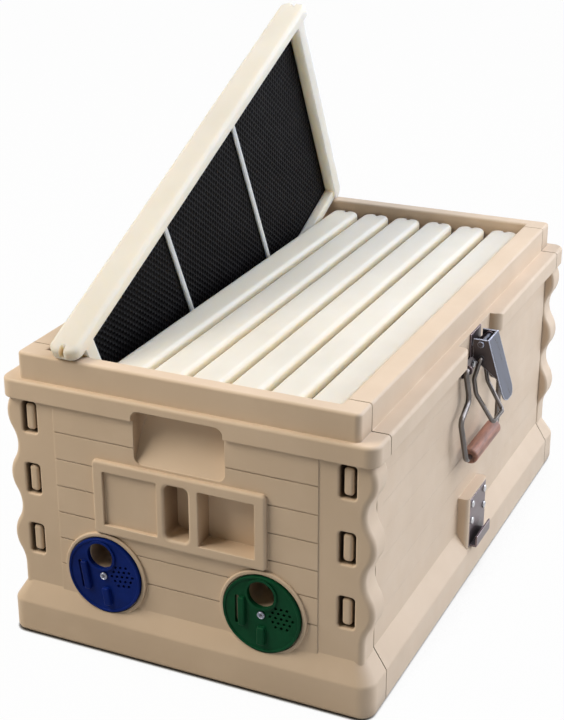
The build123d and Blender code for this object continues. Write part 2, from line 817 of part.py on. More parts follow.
def latch_bracket():
    """Folded bracket on the wall: two ears for the lever's pin and two for the handle."""
    back = side_face + sheet
    wing = bail_ear_y + sheet
    solid = block(side_face, back, -lever_half, lever_half, bracket_low, ledge_top)
    solid += block(side_face, back, -wing, wing, bail_z - 2 * bail_ear_radius, bail_z + bail_ear_radius)
    for y, z in latch_rivet_places():
        solid -= rod(rivet_diameter + 2 * rivet_clearance, (side_face, y, z), (back, y, z))
    for side in (-1, 1):
        y0, y1 = sorted((side * (ear_outer - sheet), side * ear_outer))
        foot = pin_z - bracket_ear_radius
        solid += pivot_ear(pin_x, pin_z, bracket_ear_radius, foot - bracket_ear_foot, foot, y0, y1)
        y0, y1 = sorted((side * bail_ear_y, side * wing))
        solid += pivot_ear(bail_x, bail_z, bail_ear_radius, bail_z - 2 * bail_ear_radius,
                           bail_z + bail_ear_radius, y0, y1)
    solid -= rod(lever_pin_diameter + 2 * running_clearance, (pin_x, -lever_half, pin_z),
                 (pin_x, lever_half, pin_z))
    solid -= rod(bail_wire + 2 * running_clearance, (bail_x, -bail_y, bail_z), (bail_x, bail_y, bail_z))
    return solid


def latch_lever():
    """Folded channel that tapers to a rounded tongue."""
    top = pin_z + lever_top_above_pin
    back = pin_x - lever_back_from_pin
    front = pin_x + lever_front_from_pin
    lean = tan(radians(lever_tilt))
    low = top - lever_flange_length
    outline = [(back, top), (front, top), (front + lean * lever_flange_length, low),
               (back, top - lever_back_length)]
    flange = upright_plate(outline, lever_half - sheet, lever_half)
    solid = flange + mirror(flange, Plane.XZ)
    slant = 1 / cos(radians(lever_tilt))
    plan = Rectangle(lever_width, lever_length * slant)
    tip = plan.vertices().group_by(Axis.Y)[0]
    plan = fillet(tip, lever_tip_radius)
    web = extrude(Pos(0, -lever_length * slant / 2) * plan, sheet)
    outward = (cos(radians(lever_tilt)), 0, sin(radians(lever_tilt)))
    lay = Plane((front, 0, top), x_dir=(0, 1, 0), z_dir=outward)
    solid += lay * web
    solid -= rod(lever_pin_diameter + 2 * running_clearance, (pin_x, -lever_width, pin_z),
                 (pin_x, lever_width, pin_z))
    solid -= rod(loop_wire + 2 * running_clearance, (loop_pivot_x, -lever_width, loop_pivot_z),
                 (loop_pivot_x, lever_width, loop_pivot_z))
    return solid


def lever_pin():
    """Headed pin through the bracket's ears and the lever."""
    outer = lever_half + side_play / 2
    solid = rod(lever_pin_diameter, (pin_x, -outer, pin_z), (pin_x, outer, pin_z))
    for side in (-1, 1):
        head = rod(pin_head_diameter, (pin_x, side * outer, pin_z),
                   (pin_x, side * (outer + pin_head_height), pin_z))
        edge = head.edges().sort_by(lambda e: abs(e.center().Y))[-1]
        solid += fillet(edge, pin_head_height / 2)
    return solid


def latch_loop():
    """Wire loop that hangs from the lever, bowed towards the wall."""
    end = lever_half - sheet - side_play / 2
    lean = radians(loop_lean)
    bar_x = loop_pivot_x + loop_reach * sin(lean)
    bar_z = loop_pivot_z - loop_reach * cos(lean)
    bow_x = loop_pivot_x - loop_bow
    upper_z = loop_pivot_z - loop_reach * loop_upper_bend
    lower_z = loop_pivot_z - loop_reach * loop_lower_bend
    half = [(loop_pivot_x, end, loop_pivot_z), (loop_pivot_x, loop_y, loop_pivot_z),
            (bow_x, loop_y, upper_z), (bow_x + loop_bow / 2, loop_y, lower_z),
            (bar_x, loop_bar_half_width, bar_z)]
    points = half + [(x, -y, z) for x, y, z in reversed(half)]
    radii = [loop_eye_radius, loop_bow_radius, loop_leg_radius, loop_wire]
    return wire_form(points, radii + radii[::-1], loop_wire)


def bail_points():
    """Bends of the carry handle in its own plane, from the pivot of one leg to the other."""
    half = [(bail_ear_y - bail_leg_play, 0), (bail_y, 0), (bail_neck_half, -bail_neck_drop),
            (bail_shoulder_half, -bail_shoulder_drop), (bail_foot_half, -bail_length)]
    return half + [(-y, z) for y, z in reversed(half)]


def handle_place(solid):
    """Swing a piece of the handle out from the wall, about its pivots."""
    out = Rot(0, -bail_lean, 0)
    return Pos(bail_x, 0, bail_z) * out * solid


def carry_bail():
    points = [(0, y, z) for y, z in bail_points()]
    radii = [bail_hook_radius, bail_bend_radius, bail_bend_radius, bail_bend_radius]
    return handle_place(wire_form(points, radii + radii[::-1], bail_wire))


def carry_grip():
    """Moulded grip on the cross wire of the handle."""
    half = grip_length / 2
    solid = rod(grip_diameter, (0, -half, -bail_length), (0, half, -bail_length))
    solid = fillet(solid.edges().filter_by(GeomType.CIRCLE), grip_end_radius)
    bore = bail_wire + 2 * grip_bore_clearance
    solid -= rod(bore, (0, -half, -bail_length), (0, half, -bail_length))
    return handle_place(solid)


def rivet(x, y, z):
    """Domed rivet driven along -X into the wall."""
    head = rod(rivet_head_diameter, (x, y, z), (x + rivet_head_height, y, z))
    head = fillet(head.edges().group_by(Axis.X)[-1], rivet_dome_radius)
    return head + rod(rivet_diameter, (x, y, z), (x - rivet_grip, y, z))


def bracket_rivets():
    return Compound([rivet(side_face + sheet, y, z) for y, z in latch_rivet_places()])


def keeper_plate():
    """Riveted plate with a hook that opens upward."""
    face = keeper_seat + sheet
    half = keeper_plate_width / 2
    low = keeper_rise
    solid = block(keeper_seat, face, -half, half, low, low + keeper_plate_height)
    hook = hook_width / 2
    lip = face + hook_gap
    solid += block(keeper_seat, lip + sheet, -hook, hook, low, low + sheet)
    solid += block(lip, lip + sheet, -hook, hook, low, low + hook_lip_height)
    outer = solid.edges().filter_by(Axis.Y).group_by(Axis.Z)[0].sort_by(Axis.X)[-1]
    solid = fillet(outer, sheet)
    for y, z in keeper_rivet_places():
        solid -= rod(rivet_diameter + 2 * rivet_clearance, (keeper_seat, y, z), (face, y, z))
    return solid


def keeper_rivets():
    return Compound([rivet(keeper_seat + sheet, y, z) for y, z in keeper_rivet_places()])


# Assembly

def build_nodes():
    nodes = {}
    turn_back = Rot(0, 0, 180)
    nodes["front_panel_shell"] = end_panel_shell(True)
    nodes["front_panel_liner"] = end_liner(liner_clearance, True)
    nodes["front_insulation_core"] = end_cavity(core_clearance, True)
    nodes["back_panel_shell"] = turn_back * end_panel_shell(False)
    nodes["back_panel_liner"] = turn_back * end_liner(liner_clearance, False)
    nodes["back_insulation_core"] = turn_back * end_cavity(core_clearance, False)
    right = {
        "panel_shell": side_panel_shell(),
        "panel_liner": side_liner(liner_clearance),
        "insulation_core": side_cavity(core_clearance),
        "latch_bracket": latch_bracket(),
        "bracket_rivets": bracket_rivets(),
        "latch_lever": latch_lever(),
        "lever_pin": lever_pin(),
        "latch_loop": latch_loop(),
        "carry_bail": carry_bail(),
        "carry_grip": carry_grip(),
        "keeper_plate": keeper_plate(),
        "keeper_rivets": keeper_rivets(),
    }
    for name, solid in right.items():
        nodes["right_" + name] = solid
        nodes["left_" + name] = turn_back * solid
    disc = entrance_disc()
    left_x, right_x = entrance_sides()
    nodes["left_entrance_disc"] = disc_place(left_x, left_disc_turn) * disc
    nodes["right_entrance_disc"] = disc_place(right_x, right_disc_turn) * disc
    nodes["disc_pivot_screws"] = Compound([pivot_screw(x) for x in entrance_sides()])
    moulding = frame_moulding()
    sheet_piece = foundation_sheet()
    for index in range(frame_count):
        place = propped() if index == 0 else hung(index)
        nodes[f"frame_{index + 1}"] = place * moulding
        nodes[f"foundation_{index + 1}"] = place * sheet_piece
    return nodes


def main():
    os.makedirs("parts", exist_ok=True)
    for name, solid in build_nodes().items():
        export_step(solid, f"parts/{name}.step")


main()
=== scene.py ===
import math

import bmesh
import bpy
from mathutils import Matrix, Vector


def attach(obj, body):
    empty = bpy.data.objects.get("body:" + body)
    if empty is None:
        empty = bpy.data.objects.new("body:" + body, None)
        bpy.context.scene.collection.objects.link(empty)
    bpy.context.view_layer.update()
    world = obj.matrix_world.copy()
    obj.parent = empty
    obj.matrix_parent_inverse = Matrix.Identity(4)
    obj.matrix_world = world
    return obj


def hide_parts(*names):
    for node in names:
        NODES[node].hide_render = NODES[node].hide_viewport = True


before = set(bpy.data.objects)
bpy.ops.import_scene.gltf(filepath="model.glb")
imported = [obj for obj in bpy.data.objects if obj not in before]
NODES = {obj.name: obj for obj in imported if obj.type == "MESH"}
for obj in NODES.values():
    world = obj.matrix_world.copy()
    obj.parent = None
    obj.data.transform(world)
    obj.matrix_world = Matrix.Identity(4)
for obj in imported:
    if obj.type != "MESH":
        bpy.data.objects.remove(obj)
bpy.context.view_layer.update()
SIDES = ("left", "right")
PANELS = ("front", "back", "left", "right")
FRAME_NUMBERS = range(1, 8)

# Camera, fitted to the straight edges of the photograph: metres, degrees, millimetres of lens
CAMERA_PLACE = (0.530, -1.2213, 0.7388)
CAMERA_YAW = 25.95
CAMERA_PITCH = 22.02
CAMERA_ROLL = -0.65
CAMERA_LENS = 76.9
CAMERA_SHIFT = (0.0453, -0.0246)
CAMERA_REACH = 50.0

# Square lamps: name, place, side, power and colour
LAMPS = (
    ("over", (0.4, 0.75, 1.8), 1.2, 12.5, (0.79, 0.85, 1.0)),
    ("over_left", (-1.0, -0.84, 1.4), 0.95, 24.5, (1.0, 0.905, 0.78)),
    ("right", (1.5, 0.3, 1.4), 1.7, 24.5, (0.88, 0.91, 1.0)),
    ("back_right", (1.45, 1.4, 1.15), 1.4, 23.0, (0.80, 0.87, 1.0)),
)
LAMP_AIM = (0.0, 0.0, 0.15)

# Faint light from all round, and the white that the background and the floor show
FILL_COLOR = (1.0, 0.98, 0.72)
FILL_STRENGTH = 0.055
BACKDROP_COLOR = (1.0, 1.0, 1.0)
BACKDROP_STRENGTH = 1.0

# Floor just under the body, in metres
FLOOR_HALF = 6.0
FLOOR_DROP = 0.0005
FLOOR_ROUGHNESS = 0.9

# Direction of the brighter light, from which a contact shadow on the floor falls away
SUN_SIDE = (0.62, 0.50, 0.60)

# Reach of the contact shadow on the floor, and over which the floor counts as inside the body
CONTACT_REACH = 0.0035
INSIDE_REACH = 0.30

# Colours are linear
BEIGE = (0.70, 0.553, 0.408)
# Paler colour of the beige's random wear streaks and of its painted highlight on rounded edges
BEIGE_WEAR_AND_HIGHLIGHT = (0.82, 0.69, 0.55)
# Painted shade in the corners and grooves of the beige mouldings
BEIGE_CORNER_SHADE = (0.30, 0.19, 0.11)
DEEP_SHADE = (0.040, 0.026, 0.018)
PIT_SHADE = (0.14, 0.085, 0.055)
IVORY = (0.73, 0.692, 0.608)
# Ivory tints painted on faces that other pieces stand over: a warm painted shade, and a painted light on
# those that face front
IVORY_WARM_SHADE = (0.89, 0.765, 0.58)
IVORY_FRONT_LIGHT = (0.92, 0.875, 0.79)
# Paler colour of the ivory's random wear streaks and of its painted highlight on rounded edges
IVORY_WEAR_AND_HIGHLIGHT = (0.79, 0.755, 0.67)
# Painted shade in the corners and gaps of the ivory mouldings
IVORY_CORNER_SHADE = (0.52, 0.42, 0.29)
BLUE = (0.003, 0.018, 0.165)
GREEN = (0.004, 0.066, 0.026)
SHEET_STEEL = (0.128, 0.137, 0.176)
KEEPER_STEEL = (0.168, 0.132, 0.141)
WIRE_STEEL = (0.150, 0.134, 0.126)
RIVET_STEEL = (0.50, 0.50, 0.52)
# Painted shade in the corners of steel
STEEL_CORNER_SHADE = (0.020, 0.018, 0.017)
BROWN = (0.34, 0.155, 0.105)
BROWN_RUBBED = (0.56, 0.33, 0.25)
BLACK = (0.0035, 0.0032, 0.0035)
BLACK_BLOOM = (0.009, 0.0085, 0.009)
FOAM = (0.88, 0.86, 0.80)
FOAM_CELL = (0.70, 0.67, 0.60)
FLOOR_OPEN = (0.45, 0.44, 0.42)
FLOOR_SHADOW = (0.10, 0.085, 0.07)

# Tints that multiply the colour of steel, in its stains and, as painted shade, on its flanks
STAIN_TINT = (0.72, 0.60, 0.50)
FLANK_SHADE_TINT = (0.62, 0.46, 0.34)

# How much brighter the painted highlight on the edges of steel is, and how far it is metal
EDGE_HIGHLIGHT = 6.0
STEEL_METALLIC = 0.85

# Highlights of the plastics
MOULDING_SPECULAR = 0.30
DISC_SPECULAR = 0.06
FOUNDATION_SPECULAR = 0.05

# Reach over which painted shade counts a gap as deep, a recess as a pit, and steel and ivory as sheltered,
# in metres
DEEP_REACH = 0.010
PIT_REACH = 0.030
STEEL_SHADE_REACH = 0.012
IVORY_REACH = 0.20

# Greatest share of the painted shade in pits, in deep gaps and in the corners of steel
PIT_SHARE = 0.50
DEEP_SHARE = 0.92
STEEL_SHADE_SHARE = 0.85

# Light inside the ivory: share, depth in metres, and the part of the depth for each colour channel
GLOW_SHARE = 0.9
GLOW_DEPTH = 0.020
GLOW_RADIUS = (1.0, 0.85, 0.65)

# Foundation cells, in metres
CELL_WIDTH = 0.0054
CELL_DEPTH = 0.0011
CELL_BORDER = 0.0022
CELL_SIDES = 6
CELL_RADIUS = CELL_WIDTH / math.sqrt(3)
CELL_ROW_STEP = 1.5 * CELL_RADIUS
CELL_TURNS = [math.radians(60 * step + 30) for step in range(CELL_SIDES)]

# Cell corners on the same step of this many to a metre are one, and how near the face counts as on it
WELD_STEPS = 1e5
ON_FACE = 1e-7

# Two directions whose product is under this are different axes of a sheet
SAME_AXIS = 0.5


def scaled(color, factor):
    """A colour times a number, kept within 1."""
    return tuple(min(1.0, channel * factor) for channel in color)


def tinted(color, tint):
    """A colour times another, channel by channel."""
    return tuple(channel * share for channel, share in zip(color, tint))


class Graph:
    """Small helper for building one node material around its Principled shader."""

    def __init__(self, name):
        self.material = bpy.data.materials.new(name)
        self.material.use_nodes = True
        self.tree = self.material.node_tree
        self.shader = self.tree.nodes["Principled BSDF"]
        coordinates = self.add("ShaderNodeTexCoord")
        self.place = coordinates.outputs["Object"]
        self.direction = coordinates.outputs["Normal"]

    def add(self, kind, **values):
        """A new node with its settings."""
        node = self.tree.nodes.new(kind)
        for key, value in values.items():
            setattr(node, key, value)
        return node

    def join(self, source, target):
        """Link an output to an input."""
        self.tree.links.new(source, target)

    def fill(self, socket, value):
        """Give an input a link, a colour or a number."""
        if isinstance(value, bpy.types.NodeSocket):
            self.join(value, socket)
        elif socket.type == "RGBA":
            socket.default_value = (*value, 1.0)
        else:
            socket.default_value = value

    def stretched(self, scale):
        """Place on the body, scaled by a factor for each axis."""
        node = self.add("ShaderNodeMapping")
        self.join(self.place, node.inputs["Vector"])
        node.inputs["Scale"].default_value = scale
        return node.outputs["Vector"]

    def noise(self, scale, detail=2.0, rough=0.5, vector=None):
        """Cloudy pattern around 0.5."""
        node = self.add("ShaderNodeTexNoise")
        self.join(vector or self.place, node.inputs["Vector"])
        node.inputs["Scale"].default_value = scale
        node.inputs["Detail"].default_value = detail
        node.inputs["Roughness"].default_value = rough
        return node.outputs["Fac"]

    def spread(self, value, low, high, to_low=0.0, to_high=1.0):
        """Map the range from low to high onto the range from to_low to to_high, and no further."""
        node = self.add("ShaderNodeMapRange", clamp=True)
        self.join(value, node.inputs["Value"])
        for key, number in (("From Min", low), ("From Max", high), ("To Min", to_low), ("To Max", to_high)):
            node.inputs[key].default_value = number
        return node.outputs["Result"]

    def math(self, operation, a, b=0.0):
        """One operation on one or two values."""
        node = self.add("ShaderNodeMath", operation=operation)
        self.fill(node.inputs[0], a)
        self.fill(node.inputs[1], b)
        return node.outputs[0]

    def mix(self, share, a, b):
        """Colour a, with a share of colour b."""
        node = self.add("ShaderNodeMix", data_type="RGBA")
        self.fill(node.inputs["Factor"], share)
        self.fill(node.inputs["A"], a)
        self.fill(node.inputs["B"], b)
        return node.outputs["Result"]

    def crevice(self, distance, toward=None):
        """1 in the open, towards 0 in narrow corners and grooves; toward tilts where it looks."""
        node = self.add("ShaderNodeAmbientOcclusion", samples=8, only_local=False)
        node.inputs["Distance"].default_value = distance
        if toward is not None:
            tilt = self.add("ShaderNodeCombineXYZ")
            for socket, number in zip(tilt.inputs, toward):
                socket.default_value = number
            self.join(tilt.outputs["Vector"], node.inputs["Normal"])
        return node.outputs["AO"]

    def facing(self, axis):
        """Part of the surface normal along one axis of the body."""
        node = self.add("ShaderNodeSeparateXYZ")
        self.join(self.direction, node.inputs[0])
        return node.outputs[axis]

    def rounded(self, radius):
        """Normal with small rounded edges, and how far it turns from the flat one."""
        node = self.add("ShaderNodeBevel", samples=4)
        node.inputs["Radius"].default_value = radius
        geometry = self.add("ShaderNodeNewGeometry")
        dot = self.add("ShaderNodeVectorMath", operation="DOT_PRODUCT")
        self.join(node.outputs["Normal"], dot.inputs[0])
        self.join(geometry.outputs["Normal"], dot.inputs[1])
        return node.outputs["Normal"], self.spread(dot.outputs["Value"], low=0.995, high=0.85)

    def bump(self, height, strength, distance, normal=None):
        """Normal with small relief, on top of another normal where one is given."""
        node = self.add("ShaderNodeBump")
        node.inputs["Strength"].default_value = strength
        node.inputs["Distance"].default_value = distance
        self.join(height, node.inputs["Height"])
        if normal is not None:
            self.join(normal, node.inputs["Normal"])
        return node.outputs["Normal"]

    def set(self, **values):
        """Fill the shader's inputs and give back the material."""
        names = {"color": "Base Color", "roughness": "Roughness", "metallic": "Metallic", "normal": "Normal",
                 "specular": "Specular IOR Level"}
        for key, value in values.items():
            self.fill(self.shader.inputs[names[key]], value)
        return self.material


def moulded_plastic(name, colors, grain, edge, corner, corner_shade_share, shade=1.0, right_wall_shade=0.0, shade_and_light_tints=None):
    """Satin moulding: faint flow marks, fine grain, random wear streaks, a painted highlight along the
    edges, and painted shade in corners, recesses and deep gaps.

    The three colours are those of the base, of the wear streaks and edge highlight, and of the corner shade;
    the edge and corner reaches are in metres.
    The shade share sets how dark the painted shade in recesses and gaps gets; a further share adds painted
    shade on recess walls that face right.
    The optional pair of tints is painted on faces that other pieces stand over: a painted light on those
    that face front, a warm painted shade on the rest."""
    base, wear_and_highlight, corner_shade_color = colors
    graph = Graph(name)
    flow = graph.noise(scale=7.0, detail=3.0, rough=0.55)
    streak = graph.noise(scale=28.0, detail=4.0, rough=0.6)
    color = graph.mix(graph.spread(flow, low=0.35, high=0.65), scaled(base, 0.955), scaled(base, 1.035))
    # Painted warm shade on sheltered ivory faces, and painted light on those that face front
    if shade_and_light_tints is not None:
        front, rest = shade_and_light_tints
        tint = graph.mix(graph.spread(graph.facing("Y"), low=-0.75, high=-0.35), front, rest)
        shelter_share = graph.spread(graph.crevice(IVORY_REACH), low=0.40, high=0.92, to_low=1.0, to_high=0.0)
        color = graph.mix(shelter_share, color, tint)
    color = graph.mix(graph.spread(streak, low=0.45, high=0.75, to_high=0.16), color, wear_and_highlight)
    soft, turned = graph.rounded(edge)
    # Painted highlight: paler along rounded edges, in patches
    edge_highlight = graph.math("MULTIPLY", turned, graph.spread(streak, low=0.3, high=0.7, to_low=0.45))
    color = graph.mix(edge_highlight, color, wear_and_highlight)
    # Painted shade: darker in narrow corners and grooves
    corner_shade = graph.spread(graph.crevice(corner), low=0.12, high=0.50, to_low=corner_shade_share, to_high=0.0)
    color = graph.mix(corner_shade, color, corner_shade_color)
    openness = graph.crevice(PIT_REACH)
    pit = graph.spread(openness, low=0.08, high=0.36, to_low=PIT_SHARE * shade, to_high=0.0)
    color = graph.mix(pit, color, PIT_SHADE)
    # Painted shade on recess walls that face right
    if right_wall_shade > 0.0:
        hollow = graph.spread(openness, low=0.30, high=0.80, to_low=right_wall_shade, to_high=0.0)
        right_wall_shade_mask = graph.math("MULTIPLY", hollow, graph.spread(graph.facing("X"), low=0.25, high=0.85))
        color = graph.mix(right_wall_shade_mask, color, PIT_SHADE)
    tightness = graph.crevice(DEEP_REACH)
    deep = graph.spread(tightness, low=0.06, high=0.34, to_low=DEEP_SHARE * shade, to_high=0.0)
    color = graph.mix(deep, color, DEEP_SHADE)
    fine = graph.noise(scale=grain, detail=2.0, rough=0.6)
    normal = graph.bump(fine, strength=0.10, distance=0.00025, normal=soft)
    cloud = graph.noise(scale=60.0, detail=3.0)
    rough = graph.spread(cloud, low=0.3, high=0.7, to_low=0.42, to_high=0.56)
    return graph.set(color=color, roughness=rough, normal=normal, specular=MOULDING_SPECULAR)


def glow_through(material):
    """Let light spread inside a pale moulding."""
    sockets = material.node_tree.nodes["Principled BSDF"].inputs
    sockets["Subsurface Weight"].default_value = GLOW_SHARE
    sockets["Subsurface Radius"].default_value = GLOW_RADIUS
    sockets["Subsurface Scale"].default_value = GLOW_DEPTH


def disc_plastic(name, base):
    """Smooth coloured moulding with faint scuffs and a painted highlight along its edges."""
    graph = Graph(name)
    cloud = graph.noise(scale=40.0, detail=4.0, rough=0.6)
    color = graph.mix(graph.spread(cloud, low=0.35, high=0.68), scaled(base, 0.80), scaled(base, 1.22))
    soft, turned = graph.rounded(radius=0.0006)
    # Painted highlight: lighter along the rounded edges
    edge = tuple(channel + 0.01 for channel in scaled(base, 1.9))
    color = graph.mix(graph.math("MULTIPLY", turned, 0.5), color, edge)
    scuff = graph.noise(scale=260.0, detail=3.0, rough=0.7, vector=graph.stretched((1.0, 1.0, 0.15)))
    rough = graph.spread(scuff, low=0.35, high=0.75, to_low=0.30, to_high=0.46)
    normal = graph.bump(graph.noise(scale=700.0), strength=0.06, distance=0.0002, normal=soft)
    return graph.set(color=color, roughness=rough, normal=normal, specular=DISC_SPECULAR)


def rolled_steel(name, base, smoothest, roughest, stretch, edge=0.0004, flank_shade=0.0):
    """Bare metal with drawn streaks and small stains, a painted highlight along its edges, painted shade in
    its corners and, by share, painted shade on its flanks.
    """
    graph = Graph(name)
    streak = graph.noise(scale=90.0, detail=4.0, rough=0.65, vector=graph.stretched(stretch))
    stain = graph.noise(scale=55.0, detail=4.0, rough=0.6)
    color = graph.mix(graph.spread(streak, low=0.35, high=0.65), scaled(base, 0.80), scaled(base, 1.15))
    stained = graph.spread(stain, low=0.58, high=0.80, to_high=0.55)
    color = graph.mix(stained, color, tinted(base, STAIN_TINT))
    soft, turned = graph.rounded(edge)
    # Painted shade on faces that look front or back
    if flank_shade > 0.0:
        across = graph.math("ABSOLUTE", graph.facing("Y"))
        flank_shade_mask = graph.spread(across, low=0.5, high=0.95, to_high=flank_shade)
        color = graph.mix(flank_shade_mask, color, tinted(base, FLANK_SHADE_TINT))
    # Painted highlight along the rounded edges
    color = graph.mix(turned, color, scaled(base, EDGE_HIGHLIGHT))
    # Painted shade: darker in the corners of steel
    steel_corner_shade = graph.spread(graph.crevice(STEEL_SHADE_REACH), low=0.22, high=0.72, to_low=STEEL_SHADE_SHARE, to_high=0.0)
    color = graph.mix(steel_corner_shade, color, STEEL_CORNER_SHADE)
    rough = graph.spread(streak, low=0.3, high=0.7, to_low=smoothest, to_high=roughest)
    normal = graph.bump(streak, strength=0.05, distance=0.0002, normal=soft)
    return graph.set(color=color, roughness=rough, normal=normal, metallic=STEEL_METALLIC)


def grip_material():
    """Brown grip with lengthwise grain and rubbed patches."""
    graph = Graph("brown_grip")
    grain = graph.noise(scale=170.0, detail=5.0, rough=0.65, vector=graph.stretched((1.0, 0.10, 1.0)))
    patch = graph.noise(scale=45.0, detail=3.0)
    color = graph.mix(graph.spread(grain, low=0.38, high=0.62), scaled(BROWN, 0.50), scaled(BROWN, 1.45))
    color = graph.mix(graph.spread(patch, low=0.55, high=0.8, to_high=0.35), color, BROWN_RUBBED)
    rough = graph.spread(grain, low=0.3, high=0.7, to_low=0.40, to_high=0.60)
    normal = graph.bump(grain, strength=0.12, distance=0.0003)
    return graph.set(color=color, roughness=rough, normal=normal)


def foundation_material():
    """Black sheet with a thin, uneven bloom on its cells."""
    graph = Graph("black_foundation")
    bloom = graph.noise(scale=32.0, detail=4.0, rough=0.6)
    color = graph.mix(graph.spread(bloom, low=0.45, high=0.75, to_high=0.6), BLACK, BLACK_BLOOM)
    rough = graph.spread(graph.noise(scale=420.0), low=0.3, high=0.7, to_low=0.36, to_high=0.52)
    normal = graph.bump(graph.noise(scale=900.0), strength=0.08, distance=0.0002)
    return graph.set(color=color, roughness=rough, normal=normal, specular=FOUNDATION_SPECULAR)


def foam_material():
    """Closed-cell foam of the panel cores."""
    graph = Graph("core_foam")
    cells = graph.add("ShaderNodeTexVoronoi", feature="F1")
    graph.join(graph.place, cells.inputs["Vector"])
    cells.inputs["Scale"].default_value = 260.0
    wall = graph.spread(cells.outputs["Distance"], low=0.0, high=0.7)
    color = graph.mix(wall, FOAM, FOAM_CELL)
    rough = graph.spread(wall, low=0.0, high=1.0, to_low=0.80, to_high=0.92)
    normal = graph.bump(wall, strength=0.30, distance=0.0006)
    return graph.set(color=color, roughness=rough, normal=normal)


def wear(node, material):
    """Give a CAD node its finished material."""
    for slot in NODES[node].material_slots:
        slot.material = material


def sheet_axes(node):
    """Place of a flat sheet, and its half sizes: thickness, length and height."""
    mesh = NODES[node].data
    axes = []
    for polygon in mesh.polygons:
        if all(abs(polygon.normal.dot(axis)) < SAME_AXIS for axis in axes):
            axes.append(polygon.normal.copy())
    spans = []
    for axis in axes:
        reach = [axis.dot(vertex.co) for vertex in mesh.vertices]
        spans.append((max(reach) - min(reach), (max(reach) + min(reach)) / 2, axis))
    spans.sort(key=lambda span: span[0])
    thin, tall, long = spans
    centre = sum((span[2] * span[1] for span in spans), Vector())
    length = long[2] if long[2].y > 0 else -long[2]
    height = tall[2] if tall[2].z > 0 else -tall[2]
    place = Matrix((length.cross(height), length, height)).transposed().to_4x4()
    place.translation = centre
    return place, (thin[0] / 2, long[0] / 2, tall[0] / 2)


def cell_centres(half_long, half_tall):
    """Centres of the cells on a face of a sheet, in rows that are set over by half a cell."""
    rows = int((2 * (half_tall - CELL_BORDER) - 2 * CELL_RADIUS) / CELL_ROW_STEP) + 1
    columns = int((2 * (half_long - CELL_BORDER) - CELL_WIDTH / 2) / CELL_WIDTH)
    first_row = -(rows - 1) * CELL_ROW_STEP / 2
    for row in range(rows):
        z = first_row + row * CELL_ROW_STEP
        shift = CELL_WIDTH / 4 * (1 if row % 2 else -1)
        for column in range(columns):
            yield (column - (columns - 1) / 2) * CELL_WIDTH + shift, z


def rim_vertex(work, rim, place):
    """Corner of a cell on the sheet's face, shared by the cells that meet there."""
    key = (round(place[1] * WELD_STEPS), round(place[2] * WELD_STEPS))
    if key not in rim:
        rim[key] = work.verts.new(place)
    return rim[key]


def add_cells(work, face, core, centres):
    """Cells with pointed bottoms on one side of a sheet: its face and its core lie at these x."""
    rim = {}
    for y, z in centres:
        bottom = work.verts.new((core, y, z))
        ring = []
        for turn in CELL_TURNS:
            place = (face, y + CELL_RADIUS * math.cos(turn), z + CELL_RADIUS * math.sin(turn))
            ring.append(rim_vertex(work, rim, place))
        for step in range(CELL_SIDES):
            pair = (ring[step], ring[(step + 1) % CELL_SIDES])
            work.faces.new((bottom, *pair) if face > 0 else (bottom, *reversed(pair)))
    outline = []
    for edge in work.edges:
        if edge.is_boundary and abs(edge.verts[0].co.x - face) < ON_FACE:
            outline.append(edge)
    skirt = bmesh.ops.extrude_edge_only(work, edges=outline)
    for item in skirt["geom"]:
        if isinstance(item, bmesh.types.BMVert):
            item.co.x = core


def cell_sheet(half_thick, half_long, half_tall):
    """Foundation sheet whose two faces are fields of hexagonal cells."""
    work = bmesh.new()
    half_core = half_thick - CELL_DEPTH
    size = Matrix.Diagonal((2 * half_core, 2 * half_long, 2 * half_tall, 1.0))
    bmesh.ops.create_cube(work, size=1.0, matrix=size)
    centres = list(cell_centres(half_long, half_tall))
    for side in (-1, 1):
        add_cells(work, side * half_thick, side * half_core, centres)
    bmesh.ops.recalc_face_normals(work, faces=work.faces)
    mesh = bpy.data.meshes.new("foundation_cells")
    work.to_mesh(mesh)
    work.free()
    return mesh


def make_foundations(material):
    """One sheet of cells for each frame, in the place of the CAD sheet."""
    shared = None
    for number in FRAME_NUMBERS:
        node = f"foundation_{number}"
        place, halves = sheet_axes(node)
        if shared is None:
            shared = cell_sheet(*halves)
            shared.materials.append(material)
        piece = bpy.data.objects.new(f"cells_{number}", shared)
        bpy.context.scene.collection.objects.link(piece)
        piece.matrix_world = place
        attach(piece, f"frame_{number}_body")
        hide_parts(node)


def dress_panels():
    """Materials of the four panels: the end panels' recesses get painted shade on their walls that face
    right.
    """
    beige = (BEIGE, BEIGE_WEAR_AND_HIGHLIGHT, BEIGE_CORNER_SHADE)
    end_shell = moulded_plastic("beige_end_moulding", beige, grain=1100.0, edge=0.0009, corner=0.0025,
                                corner_shade_share=0.70, right_wall_shade=0.65)
    side_shell = moulded_plastic("beige_side_moulding", beige, grain=1100.0, edge=0.0009, corner=0.0025,
                                 corner_shade_share=0.45)
    liner = moulded_plastic("beige_liner", beige, grain=800.0, edge=0.0006, corner=0.003, corner_shade_share=0.45)
    foam = foam_material()
    for panel in PANELS:
        wear(f"{panel}_panel_shell", side_shell if panel in SIDES else end_shell)
        wear(f"{panel}_panel_liner", liner)
        wear(f"{panel}_insulation_core", foam)


